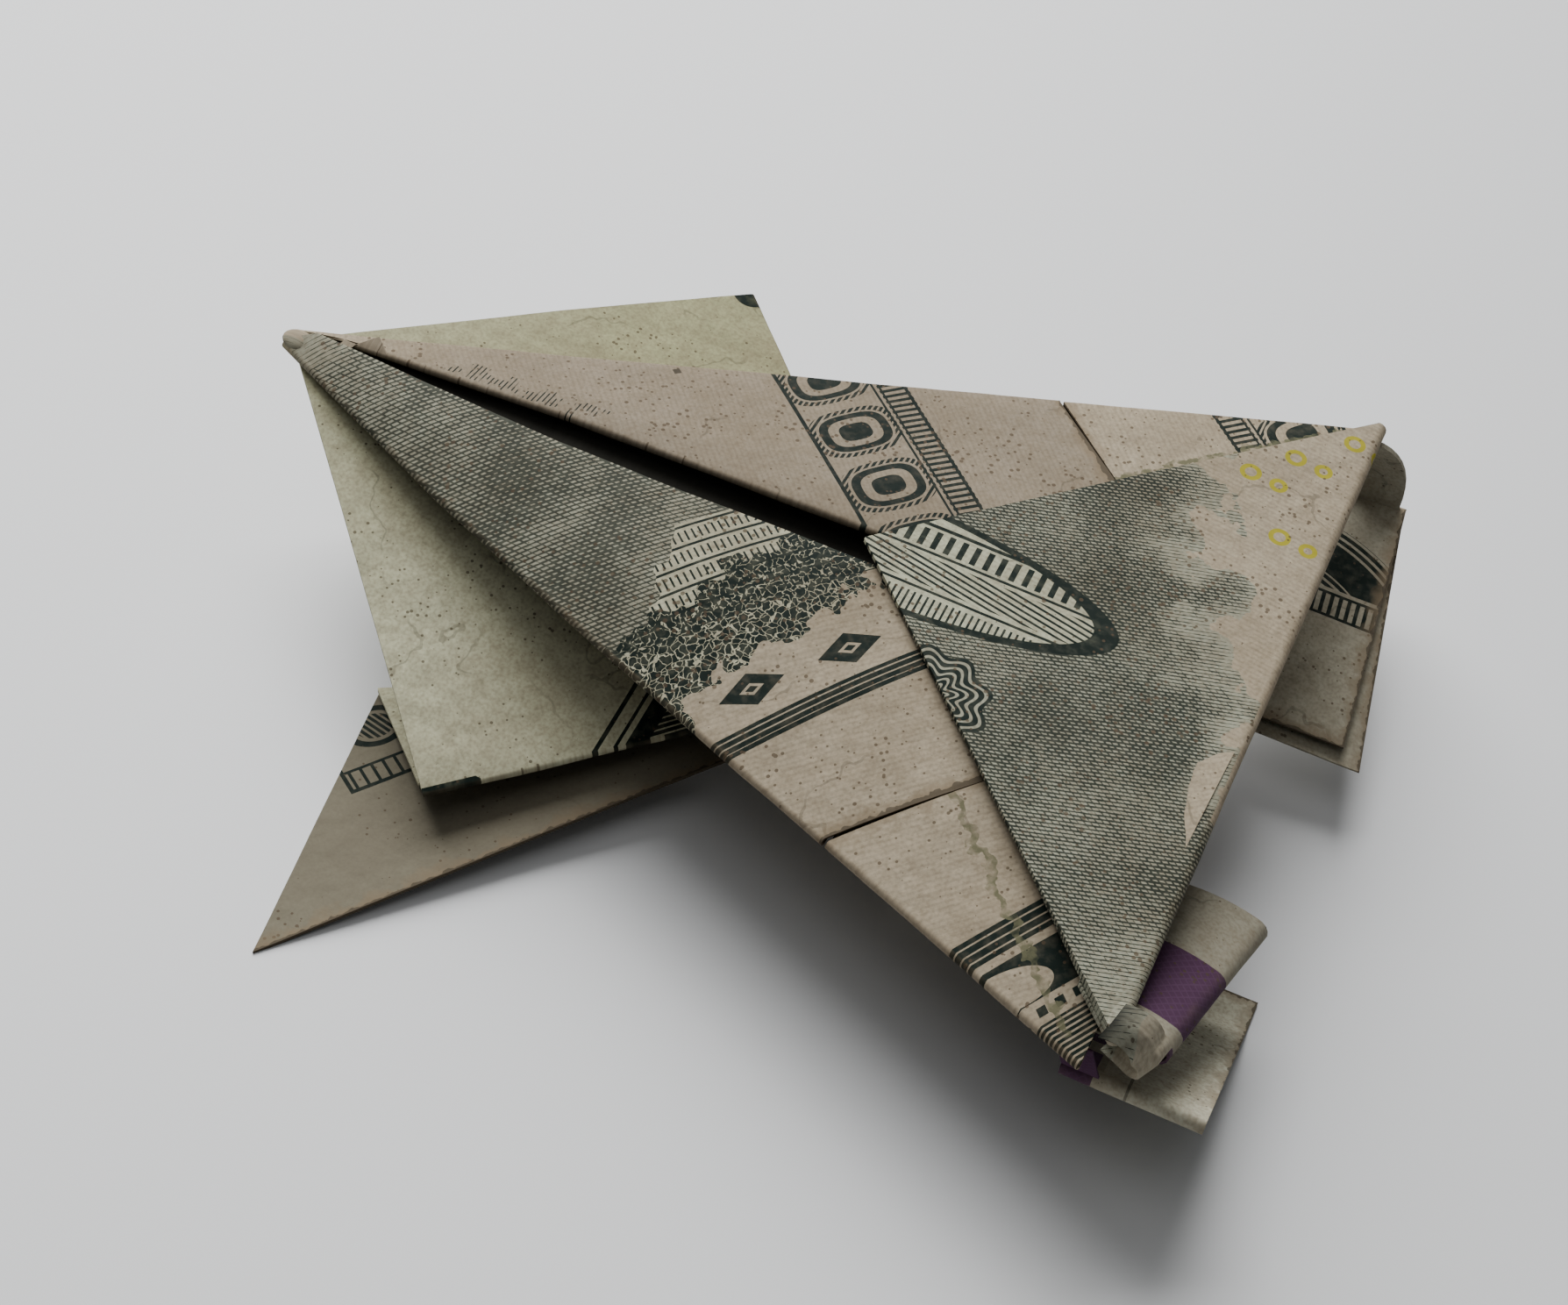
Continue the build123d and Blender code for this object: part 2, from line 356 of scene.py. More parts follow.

# %% [markdown]
# ## The curl at the tip's near corner
#
# Four layers end in one point at the tip's near corner, and a finger has pushed them over. What
# is left is a soft knuckle of paper behind the rear edge. A sculpted lump could stand for it, but
# it is paper too: a short strip rises, rolls over and comes back below.

# %% The curl at the rear tip's near corner
# The curl's first row is painted shade, for the valley where it leaves the tip.
curl_start = [
    tip_spot(46.6, -19.2, 0.05, 0.9),
    tip_spot(46.9, -18.5, 0.34, 0.9),
    tip_spot(47.1, -17.5, 0.36, 0.8),
]
curl_top = [
    tip_spot(48.1, -19.2, -0.75),
    tip_spot(48.6, -18.6, -0.2),
    tip_spot(48.8, -17.7, -0.2),
]
curl_end = [
    tip_spot(46.8, -18.9, -1.0),
    tip_spot(47.0, -18.4, -0.8),
    tip_spot(47.0, -17.5, -0.9),
]
cuts = [6, 10]
strip, row = begin(curl_start, cuts)
row = pull(strip, row, curl_top, cuts, 8, bulge=(0.25, -0.05, 0.42))
row = bend(strip, row, (1, -0.1, -0.15), UP, 0.38, ahead=(1.3, 0), steps=8, wear_and_shade=0.1)
pull(strip, row, curl_end, cuts, 4)
keep(strip, UP, PAPER, 0.06, 14)

# %% [markdown]
# ## The nose
#
# All creases of the front meet at the nose. So many layers make no sharp point: they make a
# small blunt end that is rubbed pale. The layers can't be told apart, so a flattened ball does.

# %% The blunt nose
nose = bmesh.new()
sheet = nose.verts.layers.float_vector.new("sheet")
bmesh.ops.create_uvsphere(nose, u_segments=20, v_segments=12, radius=1.0)
bmesh.ops.scale(nose, vec=(0.86, 0.66, 0.31), verts=nose.verts)
bmesh.ops.rotate(nose, cent=(0, 0, 0), matrix=Matrix.Rotation(radians(6), 3, "Y"), verts=nose.verts)
bmesh.ops.translate(nose, vec=(0.66, -0.06, -0.02), verts=nose.verts)
for vertex in nose.verts:
    vertex[sheet] = (HALF + 0.7 + vertex.co.x * 0.3, HALF + vertex.co.y, 0.3)
part = bpy.data.meshes.new("part")
nose.to_mesh(part)
nose.free()
paper_parts.append(part)
print("nose faces", len(part.polygons))

# %% [markdown]
# ## The head flaps and front legs
#
# Each head flap is a triangle beside the nose. Its outer half is pleated: it goes under along
# the edge from the flap's corner to the keel, and comes out again as a pointed leg. One strip
# that turns about the keel, first one way and then the other, is the real fold. The near flap
# droops more than the far one and its leg stands wider, so each side has its own four corners.

# %% The head flaps and front legs
def head_flap(side):
    """One head flap, the pleat under it and the front leg, as one strip."""
    keel, nose = Vector(KEEL), Vector((0.35, side * 0.12, -0.2))
    corner, root, tip = (Vector(place[side]) for place in (FLAP_CORNER, LEG_ROOT, LEG_TIP))
    share = LEG_SHARE[side]
    keel_sheet = (HALF, mirror_v(SHEET_WIDTH, side))
    cuts = [22]
    strip, row = begin([spot(nose, HALF, HALF), spot(keel, *keel_sheet)], cuts)
    fold = (corner - keel).normalized()
    normal = (corner - nose).cross(keel - nose).normalized()
    normal = normal if normal.z > 0 else -normal
    corner_sheet = (HALF / 2, mirror_v(HALF * 1.5, side))
    lift = normal * 0.1
    fold_line = [spot(corner + lift, *corner_sheet), spot(keel + lift, *keel_sheet)]
    row = pull(strip, row, fold_line, cuts, 14, bulge=normal * 0.18)
    out = (corner - nose) - fold * (corner - nose).dot(fold)
    row = bend(strip, row, out, normal, 0.2, wear_and_shade=0.5)
    root_sheet = (HALF / 2 * (1 - share), mirror_v(HALF * 1.5 + share * HALF / 2, side))
    root_line = [spot(root, *root_sheet), spot(keel - normal * 0.4, *keel_sheet)]
    row = pull(strip, row, root_line, cuts, 8)
    turn_line = (root - keel).normalized()
    away = (root - corner) - turn_line * (root - corner).dot(turn_line)
    leg_normal = (tip - root).cross(keel - root).normalized()
    leg_normal = leg_normal if leg_normal.z > 0 else -leg_normal
    row = bend(strip, row, away, leg_normal, 0.12, steps=4, wear_and_shade=0.5)
    tip_sheet = (0, mirror_v(SHEET_WIDTH, side))
    pull(strip, row, [spot(tip, *tip_sheet), spot(keel - normal * 0.6, *keel_sheet)], cuts, 14)
    keep(strip, UP, PAPER * 1.6, 0.1, 20 + side)


for side in (FAR, NEAR):
    head_flap(side)

# %% [markdown]
# ## The hind legs
#
# The other end of the sheet is folded under the body, and its side strips come out behind the
# rear fold. The far one is two layers with a crease at its outer side. The near one is a loose
# tube, and below it a wider strip slopes down and stands on its toe.
#
# All of them are pieces of the sheet's last ten millimetres, so they carry the print of that end.
# A short joint piece at the outer side closes each leg to the layers above it.

# %% The far hind leg
def strip_spot(x, y, z, v, from_end=0.0):
    """A corner of the far hind leg, so far from the sheet's end."""
    return spot((x, y, z), SHEET_LENGTH - from_end, v)


cuts = [10]
lower_end = [strip_spot(46.4, 4.95, -6.55, 38.0, 5.7), strip_spot(52.15, 4.95, -6.55, 38.0)]
outer_crease = [strip_spot(45.6, 19.2, -4.15, 51.8, 4.1), strip_spot(49.7, 19.2, -4.15, 51.8)]
upper_end = [strip_spot(45.5, 5.45, -5.95, 66.3, 5.6), strip_spot(51.1, 5.45, -5.95, 66.3)]
strip, row = begin(lower_end, cuts)
row = pull(strip, row, outer_crease, cuts, 14, bulge=(0, 0, -0.1))
row = bend(strip, row, (0, 1, 0), DOWN, 0.3, ahead=(0, 0.8), wear_and_shade=0.3)
pull(strip, row, upper_end, cuts, 14, bulge=(0, 0, 0.12))
keep(strip, DOWN, PAPER, 0.1, 31)

joint_top = [strip_spot(46.0, 18.6, 0.2, 48.0, 3.0), strip_spot(47.6, 18.9, 0.25, 48.0, 1.4)]
joint_low = [strip_spot(45.6, 19.25, -3.7, 53.0, 5.0), strip_spot(49.35, 19.25, -3.7, 53.0, 1.3)]
strip, row = begin(joint_top, cuts)
pull(strip, row, joint_low, cuts, 8, bulge=(0.5, 0.5, 0.3))
keep(strip, (0, 1, 0), PAPER * 2, 0.04, 32)

# %% [markdown]
# ## The hidden leaves
#
# Under the body each hind leg hangs on a pleat that runs back to the keel's lowest point. The
# photo can't show it, so it is the plainest leaf that holds: a triangle from the leg to that
# point. The real sheet has more layers there, and nobody would see them.

# %% The hidden leaves that carry the hind legs
def tail_leaf(crease_end, raw_end, v_crease, v_raw, seed):
    """A pleat from the keel's lowest point out to a hind leg."""
    x, z = KEEL[0] + 0.3, KEEL[2] - PAPER
    point = [spot((x, 0, z), 136, v_crease), spot((x, 0.04, z), 136, v_raw)]
    strip, row = begin([spot(crease_end, 150.4, v_crease), spot(raw_end, 150.4, v_raw)], [16])
    pull(strip, row, point, [16], 12, bulge=(0, 0, 0.15))
    keep(strip, DOWN, PAPER, 0.08, seed)


tail_leaf((45.9, 19.1, -4.3), (46.1, 5.5, -6.45), 51, 38, 34)
tail_leaf((45.9, -14.4, -6.6), (46.0, -8.6, -8.9), 22, 29, 35)

cuts = [6]
joint_top = [spot((44.9, -18.7, -1.5), 148.9, 16.5), spot((46.5, -18.7, -1.6), 150.6, 16.5)]
joint_low = [spot((45.6, -18.65, -3.5), 148.9, 12), spot((47.2, -18.65, -3.5), 150.6, 12)]
strip, row = begin(joint_top, cuts)
pull(strip, row, joint_low, cuts, 6, bulge=(0.1, -0.2, 0))
keep(strip, (0, -1, 0), PAPER, 0.05, 36)

# %% [markdown]
# ## The near hind leg
#
# This strip has sprung open into a flattened tube, with its fold at the rear. A half circle of
# 0.55 mm radius does for it. Pressed flat it would be as thin as its two layers.

# %% The near hind leg
def tube_spot(x, y, z):
    """A corner of the near tube."""
    return spot((x, y, z), TUBE_START_U + x - LEG_INNER_X, -6.95 - y)


strip, row = begin([tube_spot(46.2, -17.8, -0.35), tube_spot(46.3, -7.9, -3.2)], [18])
tube_fold = [tube_spot(48.7, -17.8, -0.7), tube_spot(50.4, -7.7, -3.7)]
row = pull(strip, row, tube_fold, [18], 8, bulge=(0, 0, 0.3))
row = bend(strip, row, (1, 0, -0.2), UP, 0.55, ahead=(1.7, 0), steps=8, wear_and_shade=0.2)
pull(strip, row, [tube_spot(46.2, -17.8, -1.4), tube_spot(46.3, -7.0, -4.5)], [18], 4)
keep(strip, UP, PAPER, 0.05, 41)

# %% [markdown]
# ## The near foot
#
# The lowest layer folds round under the tube and slopes down to the table. Its last stretch lies
# flat, and the frog stands on it and on its two front legs. It could be a flat card that is
# turned into place, but drawn from crease to crease it keeps its true length.

# %% The near foot
def foot_spot(x, y, z, v):
    """A corner of the near foot."""
    return spot((x, y, z), SHEET_LENGTH + x - FOOT_OUTER_X, v)


cuts = [12]
inner_end = [foot_spot(45.6, -14.5, -7.0, 18.5), foot_spot(51.2, -14.5, -7.0, 18.5)]
side_crease = [foot_spot(45.5, -18.6, -3.7, 13.5), foot_spot(51.6, -18.6, -3.8, 13.5)]
heel = [foot_spot(45.6, -9.0, -9.0, 1.5), foot_spot(51.75, -9.0, -9.0, 1.5)]
toe = [foot_spot(45.6, -7.5, -9.05, 0), foot_spot(51.75, -7.5, -9.05, 0)]
strip, row = begin(inner_end, cuts)
row = pull(strip, row, side_crease, cuts, 5)
row = bend(strip, row, (0, -1, 0), DOWN, 0.4, ahead=(0, -1.2), steps=8, wear_and_shade=0.2)
row = pull(strip, row, heel, cuts, 12, bulge=(0, 0, 0.15))
pull(strip, row, toe, cuts, 3)
keep(strip, DOWN, PAPER, 0.05, 51)

# %% [markdown]
# ## One sheet
#
# All strips are layers of the same sheet, so they become one mesh. It is scaled to metres and
# moved to the frame here, once, and its flat-sheet coordinates go along as an attribute. Panels
# are shaded smooth, and an edge that turns more than 50 degrees stays sharp, as a crease does.
# Separate objects would look the same, but a real frog of paper is one thing to pick up.

# %% Join the layers into one sheet
whole = bmesh.new()
for part in paper_parts:
    whole.from_mesh(part)
    bpy.data.meshes.remove(part)
to_frame = Matrix.Scale(0.001, 4) @ Matrix.Translation(SHIFT)
bmesh.ops.transform(whole, matrix=to_frame, verts=whole.verts)
for face in whole.faces:
    face.smooth = True
for edge in whole.edges:
    edge.smooth = len(edge.link_faces) < 2 or edge.calc_face_angle(0) < radians(50)
folded_mesh = bpy.data.meshes.new("folded_paper_sheet")
whole.to_mesh(folded_mesh)
whole.free()
folded = bpy.data.objects.new("folded_paper_sheet", folded_mesh)
bpy.context.scene.collection.objects.link(folded)
print("sheet triangles", sum(len(p.vertices) - 2 for p in folded_mesh.polygons))

# %% [markdown]
# ## The print and the paper
#
# The sheet is cotton paper, printed with a dry, matt, dark green ink. The print is generic: fine
# engraved lines, pebble and ladder bands, lozenges, a rosette, small yellow rings and plain
# purple bands. All of it reads the flat-sheet coordinates in millimetres, so it bends round every
# fold as a real print does. Engraved lines are about 0.14 mm apart on such sheets; they are drawn
# 0.21 and 0.24 mm apart, because finer ones would not show in the render.
#
# A printed picture could be laid on the sheet. Masks made from distances do the same without a
# picture: one where there is ink, zero where there is paper. Each print step below makes one
# mask, and the last step lays their ink over the paper's colour.

# %% Tools for the finish
def linear(code):
    """sRGB hex to linear light."""
    channels = [int(code[i:i + 2], 16) / 255 for i in (0, 2, 4)]
    return tuple(c / 12.92 if c <= 0.04045 else ((c + 0.055) / 1.055) ** 2.4 for c in channels) + (1,)


def add(tree, kind, inputs, **settings):
    """Add one shader node. An input is a value, a socket, or a node whose first output is linked."""
    node = tree.nodes.new("ShaderNode" + kind)
    for name, value in settings.items():
        setattr(node, name, value)
    for slot, value in inputs.items():
        if isinstance(value, bpy.types.Node):
            value = value.outputs[0]
        if isinstance(value, bpy.types.NodeSocket):
            tree.links.new(value, node.inputs[slot])
        else:
            node.inputs[slot].default_value = value
    return node


paper = bpy.data.materials.new("printed_cotton_paper")
paper.use_nodes = True
tree = paper.node_tree
shader = tree.nodes["Principled BSDF"]
FINE_PITCH, CROSS_PITCH = 0.21, 0.24
flat = add(tree, "Attribute", {}, attribute_name="sheet")
axes = add(tree, "SeparateXYZ", {0: flat.outputs["Vector"]})
u, v, fold = axes.outputs
place = add(tree, "CombineXYZ", {0: u, 1: v})


def inside(value, low, high):
    """One where the value lies between two lines."""
    return add(tree, "Math", {0: value, 1: (low + high) / 2, 2: (high - low) / 2}, operation="COMPARE")


def all_of(*masks):
    """One where every mask is one. A plain number makes the mask weaker."""
    whole = masks[0]
    for mask in masks[1:]:
        whole = add(tree, "Math", {0: whole, 1: mask}, operation="MULTIPLY")
    return whole


def either(*masks):
    """One where any mask is one."""
    whole = masks[0]
    for mask in masks[1:]:
        whole = add(tree, "Math", {0: whole, 1: mask}, operation="MAXIMUM")
    return whole


def without(mask, hole):
    """The mask with a hole in it."""
    left = add(tree, "Math", {0: 1.0, 1: hole}, operation="SUBTRACT")
    return all_of(mask, left)


def box(u_low, u_high, v_low, v_high):
    """One inside a rectangle of the flat sheet."""
    return all_of(inside(u, u_low, u_high), inside(v, v_low, v_high))


def slanted(across_u, across_v, shift=0.0):
    """A straight run over the sheet, in millimetres."""
    part = add(tree, "Math", {0: u, 1: across_u, 2: shift}, operation="MULTIPLY_ADD")
    return add(tree, "Math", {0: v, 1: across_v, 2: part}, operation="MULTIPLY_ADD")


def lines(run, pitch, width):
    """Parallel lines: width is the inked share of the pitch, a number or a socket."""
    wave = add(tree, "Math", {0: run, 1: pitch / 2}, operation="PINGPONG")
    share = add(tree, "Math", {0: wave, 1: 2 / pitch}, operation="MULTIPLY")
    return add(tree, "Math", {0: share, 1: width}, operation="LESS_THAN")


def cloud(size, detail, low, high, seed, bottom=0.0, top=1.0):
    """Soft patches of about this size in millimetres, stretched from bottom to top."""
    where = add(tree, "VectorMath", {0: place, 1: (seed * 31.7, seed * 17.3, seed)}, operation="ADD")
    patches = add(tree, "TexNoise", {"Vector": where, "Scale": 1 / size, "Detail": detail})
    return add(tree, "MapRange", {0: patches, 1: low, 2: high, 3: bottom, 4: top})


def gap(centre_u, centre_v):
    """How far a point of the sheet is from a centre."""
    centre = (centre_u, centre_v, 0)
    return add(tree, "VectorMath", {0: place, 1: centre}, operation="DISTANCE").outputs["Value"]


def oval(centre_u, centre_v, half_u, half_v):
    """Distance from a centre, where one is the oval's rim."""
    centre, shrink = (centre_u, centre_v, 0), (1 / half_u, 1 / half_v, 0)
    centred = add(tree, "VectorMath", {0: place, 1: centre}, operation="SUBTRACT")
    scaled = add(tree, "VectorMath", {0: centred, 1: shrink}, operation="MULTIPLY")
    return add(tree, "VectorMath", {0: scaled}, operation="LENGTH").outputs["Value"]


print("finish tools ready")

# %% [markdown]
# ## Engraved line fields
#
# An engraver makes a grey field from lines that swell where it is dark. Two line fields cross
# here, and a soft cloud sets how wide each line is. The first field covers the front of the near
# flap and fades at the nose; the second covers the rear tip and frays out at its far side.

# %% Engraved line fields
def engraved(run_a, run_b, tone, breaks):
    """Two crossing line fields whose width follows a tone, broken into dashes."""
    width = add(tree, "Math", {0: tone, 1: breaks}, operation="ADD")
    thin = add(tree, "Math", {0: width, 1: -0.24}, operation="ADD")
    return either(lines(run_a, FINE_PITCH, width), lines(run_b, CROSS_PITCH, thin))


dashes = cloud(0.3, 1.0, 0.35, 0.65, 3, -0.1, 0.1)
nose_fade = add(tree, "MapRange", {0: gap(HALF, HALF), 1: 1.0, 2: 5.0, 3: -0.36, 4: 0.0})
front_cloud = cloud(3.5, 2.0, 0.35, 0.65, 1, 0.4, 0.72)
front_tone = add(tree, "Math", {0: front_cloud, 1: nose_fade}, operation="ADD")
row_wave = cloud(1.2, 1.0, 0.3, 0.7, 5, -0.5, 0.5)
row_edge = add(tree, "Math", {0: slanted(1, -0.62), 1: row_wave}, operation="ADD")
left_of_rows = add(tree, "Math", {0: row_edge, 1: 35.9}, operation="LESS_THAN")
front_field = all_of(box(33.3, 56, 11.6, 32.9), either(inside(v, 16.6, 33.0), left_of_rows))
front_lines = engraved(slanted(0.06, 1), slanted(0.8, 0.6), front_tone, dashes)
front_hatch = all_of(front_field, 0.85, front_lines)

tip_wave = cloud(2.4, 4.0, 0.3, 0.7, 6, -2.2, 2.2)
tip_edge = add(tree, "Math", {0: slanted(1, 0.45), 1: tip_wave}, operation="ADD")
corner_fade = add(tree, "MapRange", {0: slanted(1, -0.8), 1: 101.0, 2: 106.5, 3: 0.0, 4: 0.46})
edge_fade = add(tree, "MapRange", {0: tip_edge, 1: 129.3, 2: 132.6, 3: 0.0, 4: 0.45})
tip_fade = either(corner_fade, edge_fade)
tip_cloud = cloud(5.0, 3.0, 0.38, 0.62, 2, 0.42, 0.63)
tip_tone = add(tree, "Math", {0: tip_cloud, 1: tip_fade}, operation="SUBTRACT")
tip_side = add(tree, "Math", {0: tip_edge, 1: 132.4}, operation="LESS_THAN")
tip_field = all_of(either(box(99, 118.0, 12, 54), box(99, 119.2, 12, 26)), tip_side)
tip_field = without(tip_field, inside(gap(119.9, 14.9), 0, 1.5))
tip_lines = engraved(slanted(-0.35, 1), slanted(0.55, 0.85), tip_tone, dashes)
tip_hatch = all_of(tip_field, 0.92, tip_lines)
print("engraved fields done")

# %% [markdown]
# ## The near side's print
#
# Along the sheet's near edge runs a row of simple shapes: a band of pebbles, rows of short dashes,
# two ruled bars and a few lozenges. Pebbles are the cells of a cell pattern with their dark gaps
# turned round, stirred by a noise so that no cell is straight. Everything is placed in sheet
# millimetres, so the shapes turn with the flap that carries them.

# %% Pebbles, rows and bands on the near side
pebble_swirl = add(tree, "TexNoise", {"Vector": place, "Scale": 2.2, "Detail": 2.0})
pebble_stir = {0: pebble_swirl.outputs["Color"], 1: (0.55, 0.55, 0), 2: place}
pebble_place = add(tree, "VectorMath", pebble_stir, operation="MULTIPLY_ADD")
pebble_cells = add(tree, "TexVoronoi", {"Vector": pebble_place, "Scale": 3.1}, feature="DISTANCE_TO_EDGE")
pebble_shapes = add(tree, "Math", {0: pebble_cells, 1: 0.038}, operation="GREATER_THAN")
pebble_shift = cloud(1.1, 2.0, 0.3, 0.7, 7, -1.0, 1.0)
pebble_run = add(tree, "Math", {0: slanted(-0.26, 1), 1: pebble_shift}, operation="ADD")
pebble_band = all_of(box(41.5, 56, 7.9, 15), inside(pebble_run, -3.1, 1.3))
pebble_field = either(pebble_band, inside(gap(42.9, 7.3), 0, 1.0))
pebbles = all_of(pebble_shapes, pebble_field)

row_field = without(box(42, 56, 11.4, 16.6), left_of_rows)
row_lines = lines(slanted(0, 1, -0.4), 1.0, 0.13)
row_dashes = all_of(lines(slanted(1, 0.1), 0.30, 0.30), lines(slanted(0, 1, 0.1), 1.0, 0.55))
rows = without(all_of(row_field, either(row_lines, row_dashes)), pebbles)

front_run = slanted(-0.085, 1, -1.72)
front_bar = all_of(inside(u, 33, 60), inside(front_run, -0.52, 0.52))
front_bar = without(front_bar, all_of(lines(front_run, 0.3, 0.22), inside(front_run, -0.3, 0.35)))
band_run = add(tree, "Math", {0: slanted(1, 0, -2.5), 1: 2.2}, operation="PINGPONG")
lozenge_u = add(tree, "Math", {0: band_run, 1: 0.55}, operation="MULTIPLY")
lozenge_v = add(tree, "Math", {0: slanted(-0.05, 1, -5.35)}, operation="ABSOLUTE")
lozenge = add(tree, "Math", {0: lozenge_u, 1: lozenge_v}, operation="ADD")
lozenge_rims = either(inside(lozenge, 0.3, 0.8), inside(lozenge, 0.0, 0.16))
lozenges = all_of(inside(u, 44.3, 53.1), lozenge_rims)

rear_part = inside(u, 74, 90)
rear_run = slanted(-0.14, 1, 4.3)
rear_bar = all_of(rear_part, inside(rear_run, -0.62, 0.62))
rear_bar = without(rear_bar, all_of(lines(rear_run, 0.36, 0.2), inside(rear_run, -0.4, 0.4)))
rear_field = all_of(rear_part, inside(rear_run, 1.0, 3.1))
rear_oval = add(tree, "Math", {0: oval(81.7, 9.3, 1.9, 0.85), 1: 1.0}, operation="LESS_THAN")
rear_patch = without(rear_field, rear_oval)
rear_studs = all_of(rear_part, inside(rear_run, 3.4, 3.8), lines(slanted(1, 0), 0.8, 0.5))
rear_rules = all_of(rear_part, inside(rear_run, 4.1, 9.5), lines(rear_run, 0.23, 0.62))
front_shapes = either(pebbles, rows, front_bar, lozenges)
near_print = either(front_shapes, rear_bar, rear_patch, rear_studs, rear_rules)
print("near side print done")

# %% [markdown]
# ## The far side's print
#
# The far edge carries a band of rounded squares, each with a dark rim and a dark core, between
# two thin rails, and a ladder beside it. One square is a distance raised to the third power,
# which lies between a circle and a square. The band shows on both parts of the far flap.

# %% Ornament and ladder bands on the far side
far_zone = either(inside(u, 33.3, 60), rear_part)
beat = add(tree, "Math", {0: slanted(1, 0.12), 1: 1.9}, operation="PINGPONG")
beat_u = add(tree, "Math", {0: beat, 1: 1 / 1.25}, operation="MULTIPLY")
beat_v = add(tree, "Math", {0: slanted(0, 1 / 1.75, -56.0 / 1.75)}, operation="ABSOLUTE")
power_u = add(tree, "Math", {0: beat_u, 1: 3.0}, operation="POWER")
power_v = add(tree, "Math", {0: beat_v, 1: 3.0}, operation="POWER")
shape = add(tree, "Math", {0: power_u, 1: power_v}, operation="ADD")
cartouche = either(inside(shape, 0.42, 1.0), inside(shape, 0.0, 0.1))
shade = all_of(inside(shape, 1.25, 2.1), lines(slanted(1, 1), 0.34, 0.6))
rails = either(inside(v, 53.75, 53.95), inside(v, 58.0, 58.12))
ornament = all_of(far_zone, inside(v, 53.7, 58.15), either(cartouche, shade, rails))
ladder_rails = either(inside(v, 58.3, 58.42), inside(v, 59.45, 59.62))
ladder_rungs = lines(slanted(1, 0), 0.38, 0.5)
ladder = all_of(far_zone, inside(v, 58.25, 59.65), either(ladder_rails, ladder_rungs))
dash_zone = all_of(inside(slanted(-1, 1), 1.5, 3.1), inside(u, 37.6, 42.6))
dash_patch = all_of(dash_zone, cloud(0.8, 1.0, 0.48, 0.52, 20), lines(slanted(1, 0.9), 0.3, 0.3))
far_print = either(ornament, ladder, dash_patch)
print("far side print done")

# %% [markdown]
# ## The rear tip's print
#
# The tip is filled with engraved lines. A long oval is left out of them and ruled with waves,
# beads and dashes, as plain label shapes on printed paper are. Beside it is a rosette: rings
# round a centre, pushed in and out nine times by a sine of the angle.

# %% Label band and rosette on the rear tip
label_reach = oval(99, 33, 11.6, 3.1)
label_part = inside(u, 99, 112)
label_edge = add(tree, "Math", {0: label_reach, 1: 1.0}, operation="LESS_THAN")
label_zone = all_of(label_edge, label_part)
label_rules = either(inside(v, 35.25, 35.45), inside(v, 33.7, 33.85), inside(v, 31.55, 31.7))
label_beads = all_of(inside(v, 34.0, 35.1), lines(slanted(1, 0), 0.62, 0.45))
label_dashes = all_of(inside(v, 30.1, 31.3), lines(slanted(1, 0), 0.3, 0.35))
label_waves = all_of(inside(v, 31.9, 33.5), lines(slanted(0.2, 1), 0.32, 0.4))
label = all_of(label_zone, either(label_rules, label_beads, label_dashes, label_waves))
label_rim = all_of(label_part, inside(label_reach, 0.97, 1.07))
rosette_centre = (105.2, 26.2)
from_centre = add(tree, "VectorMath", {0: place, 1: (*rosette_centre, 0)}, operation="SUBTRACT")
parts = add(tree, "SeparateXYZ", {0: from_centre})
angle = add(tree, "Math", {0: parts.outputs[1], 1: parts.outputs[0]}, operation="ARCTAN2")
nine_times = add(tree, "Math", {0: angle, 1: 9.0}, operation="MULTIPLY")
petals = add(tree, "Math", {0: nine_times}, operation="SINE")
petal_push = {0: petals, 1: 0.22, 2: gap(*rosette_centre)}
rosette_run = add(tree, "Math", petal_push, operation="MULTIPLY_ADD")
rosette_zone = add(tree, "Math", {0: rosette_run, 1: 2.6}, operation="LESS_THAN")
rosette = all_of(rosette_zone, lines(rosette_run, 0.42, 0.62))
tip_ground = without(tip_hatch, either(label_zone, rosette_zone))
tip_print = either(tip_ground, label, label_rim, rosette)
print("rear tip print done")

# %% [markdown]
# ## The ends of the sheet
#
# Little of the two ends shows: the near head flap's inner edge, the front leg and the hind
# strips. They get short pieces of frame: bars, rails, a ladder, an arc and a small oval mark.

# %% Bands at the sheet's ends
frame_lines = either(lines(slanted(0.9, 1), 0.34, 0.7), inside(v, 9.3, 10.1))
frame_bar = all_of(box(20, 33.2, 5.0, 10.1), frame_lines)
frame_post = either(box(20, 33.2, 11.0, 11.2), box(20, 33.2, 10.35, 10.5))
end_rails = either(box(7.3, 20, 6.0, 6.2), box(7.3, 20, 7.15, 7.3), box(7.3, 7.5, 6.0, 8.0))
end_ladder = all_of(box(7.3, 20, 6.0, 7.3), lines(slanted(1, 0), 0.55, 0.28))
end_oval = oval(9.9, 9.2, 1.5, 1.2)
end_core = all_of(inside(end_oval, 0.0, 0.6), lines(slanted(1, 0.4), 0.3, 0.6))
end_mark = either(inside(end_oval, 0.75, 1.0), end_core)
corner_bar = all_of(inside(slanted(1, 1), 32.0, 33.4), inside(u, 16.2, 18.4))
corner_mark = either(corner_bar, inside(gap(16.6, 49.7), 0, 0.9))
strip_zone = inside(u, 140, 157)
arc_gap = gap(151.2, 62.9)
arc_band = all_of(strip_zone, inside(arc_gap, 4.9, 8.2), inside(v, 52.9, 58.4))
strip_arc = all_of(arc_band, either(lines(arc_gap, 0.36, 0.6), inside(arc_gap, 5.6, 7.2)))
strip_rails = either(inside(v, 58.6, 58.75), inside(v, 59.85, 60.0))
strip_rungs = lines(slanted(1, 0), 0.42, 0.45)
